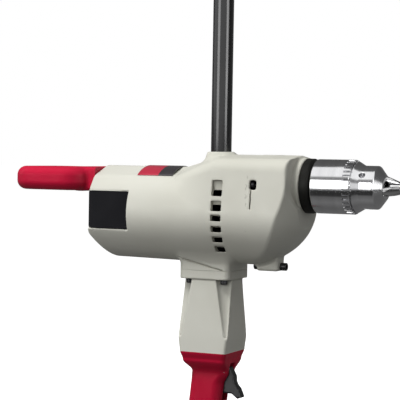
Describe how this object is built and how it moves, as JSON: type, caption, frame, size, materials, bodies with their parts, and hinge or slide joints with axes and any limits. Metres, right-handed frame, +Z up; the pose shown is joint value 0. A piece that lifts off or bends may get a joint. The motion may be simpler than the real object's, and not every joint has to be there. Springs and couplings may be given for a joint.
{
  "type": "spade handle mixing drill with keyed chuck",
  "caption": "Spade-handle mixing drill with keyed jaw chuck, geared spindle, upright pipe handle and hanging switch grip.",
  "frame": {"origin": "on the spindle axis at the front face of the chuck jaws", "axes": "+X out of the chuck along the spindle axis, +Z up along the pipe handle"},
  "size_m": [0.525, 0.124, 0.789],
  "materials": {
    "cast_paint": "warm light grey satin paint over die-cast aluminium",
    "cast_metal": "bare die-cast aluminium",
    "red_plastic": "crimson moulded plastic, semi-gloss",
    "black_plastic": "black moulded plastic",
    "label_black": null,
    "badge_red": "plain red and dark badge with no lettering",
    "black_steel": "blackened screws",
    "black_enamel": "glossy black enamel on steel",
    "black_rubber": "black rubber",
    "steel": "ground steel",
    "bright_steel": "turned and polished steel",
    "jaw_steel": "hardened ground steel",
    "gear_steel": "hobbed gear steel",
    "lamination": "varnished steel laminations",
    "copper": "enamelled copper",
    "brass": "brass",
    "bronze": "sintered bronze",
    "carbon": "electrographite"
  },
  "bodies": {
    "frame": {"motor_housing": "cast_paint", "gear_case": "cast_paint", "gear_plate": "cast_metal", "rear_cap": "cast_paint", "fan_baffle": "black_plastic", "nameplate": "label_black", "badge": "badge_red", "spade_handle": "red_plastic", "spade_screws": "black_steel", "pipe_handle": "black_enamel", "pipe_cap": "black_rubber", "pipe_set_screws": "black_steel", "handle_adapter": "cast_paint", "adapter_screws": "black_steel", "grip_left": "red_plastic", "grip_right": "red_plastic", "grip_screws": "steel", "cord_gland": "black_rubber", "switch_body": "black_plastic", "trigger_pin_rod": "steel", "trigger_spring": "steel", "case_screws": "black_steel", "foot_bolts": "black_steel", "rear_cap_screws": "black_steel", "field_core": "lamination", "field_coils": "copper", "field_screws": "steel", "brush_holders": "brass", "brushes": "carbon", "brush_springs": "steel", "rear_bearing": "steel", "armature_bearing": "steel", "idler_bushes": "bronze", "spindle_rear_bearing": "steel", "spindle_front_bearing": "steel", "spindle_seal": "black_rubber", "front_collar": "black_enamel"},
    "armature": {"armature_shaft": "steel", "armature_core": "lamination", "armature_windings": "copper", "commutator": "copper", "fan": "black_plastic"},
    "first_idler": {"first_idler_gear": "gear_steel", "first_idler_pinion": "gear_steel"},
    "second_idler": {"second_idler_gear": "gear_steel", "second_idler_pinion": "gear_steel"},
    "spindle": {"spindle": "gear_steel", "spindle_gear": "gear_steel", "gear_key": "steel", "chuck_body": "bright_steel", "chuck_screw": "black_steel"},
    "chuck_sleeve": {"chuck_sleeve": "bright_steel", "chuck_nut": "steel"},
    "jaw_a": {"jaw_1": "jaw_steel"},
    "jaw_b": {"jaw_2": "jaw_steel"},
    "jaw_c": {"jaw_3": "jaw_steel"},
    "trigger": {"trigger": "black_plastic"},
    "lock_button": {"lock_button": "black_plastic"}
  },
  "joints": [
    {"name": "spindle_spin", "type": "hinge", "parent": "frame", "child": "spindle", "pos_m": [0, 0, 0], "axis": [1, 0, 0], "continuous": true},
    {"name": "second_idler_spin", "type": "hinge", "parent": "frame", "child": "second_idler", "pos_m": [-0.181, -0.016, -0.03557], "axis": [1, 0, 0], "continuous": true},
    {"name": "first_idler_spin", "type": "hinge", "parent": "frame", "child": "first_idler", "pos_m": [-0.181, -0.01305, -0.06668], "axis": [1, 0, 0], "continuous": true},
    {"name": "armature_spin", "type": "hinge", "parent": "frame", "child": "armature", "pos_m": [-0.251, 0, -0.04], "axis": [1, 0, 0], "continuous": true},
    {"name": "sleeve_turn", "type": "hinge", "parent": "spindle", "child": "chuck_sleeve", "pos_m": [-0.081, 0, 0], "axis": [1, 0, 0], "range_deg": [-270, 0]},
    {"name": "jaw_a_slide", "type": "slide", "parent": "spindle", "child": "jaw_a", "axis": [0.9781, -0.0181, -0.2071], "range_m": [-0.014, 0]},
    {"name": "jaw_b_slide", "type": "slide", "parent": "spindle", "child": "jaw_b", "axis": [0.9781, 0.1884, 0.0879], "range_m": [-0.014, 0]},
    {"name": "jaw_c_slide", "type": "slide", "parent": "spindle", "child": "jaw_c", "axis": [0.9781, -0.1703, 0.1193], "range_m": [-0.014, 0]},
    {"name": "trigger_pull", "type": "hinge", "parent": "frame", "child": "trigger", "pos_m": [-0.227, 0, -0.241], "axis": [0, 1, 0], "range_deg": [0, 8], "stiffness_Nm_per_rad": 0.8, "springref_deg": -5.73},
    {"name": "lock_press", "type": "slide", "parent": "frame", "child": "lock_button", "axis": [0, 1, 0], "range_m": [0, 0.003], "stiffness_N_per_m": 300, "springref_m": -0.001}
  ],
  "couplings": [
    {"joint": "second_idler_spin", "follows": "spindle_spin", "ratio": -3.3333},
    {"joint": "first_idler_spin", "follows": "spindle_spin", "ratio": 10.556},
    {"joint": "armature_spin", "follows": "spindle_spin", "ratio": -47.5},
    {"joint": "jaw_a_slide", "follows": "sleeve_turn", "m_per_rad": 0.0029709},
    {"joint": "jaw_b_slide", "follows": "sleeve_turn", "m_per_rad": 0.0029709},
    {"joint": "jaw_c_slide", "follows": "sleeve_turn", "m_per_rad": 0.0029709}
  ]
}
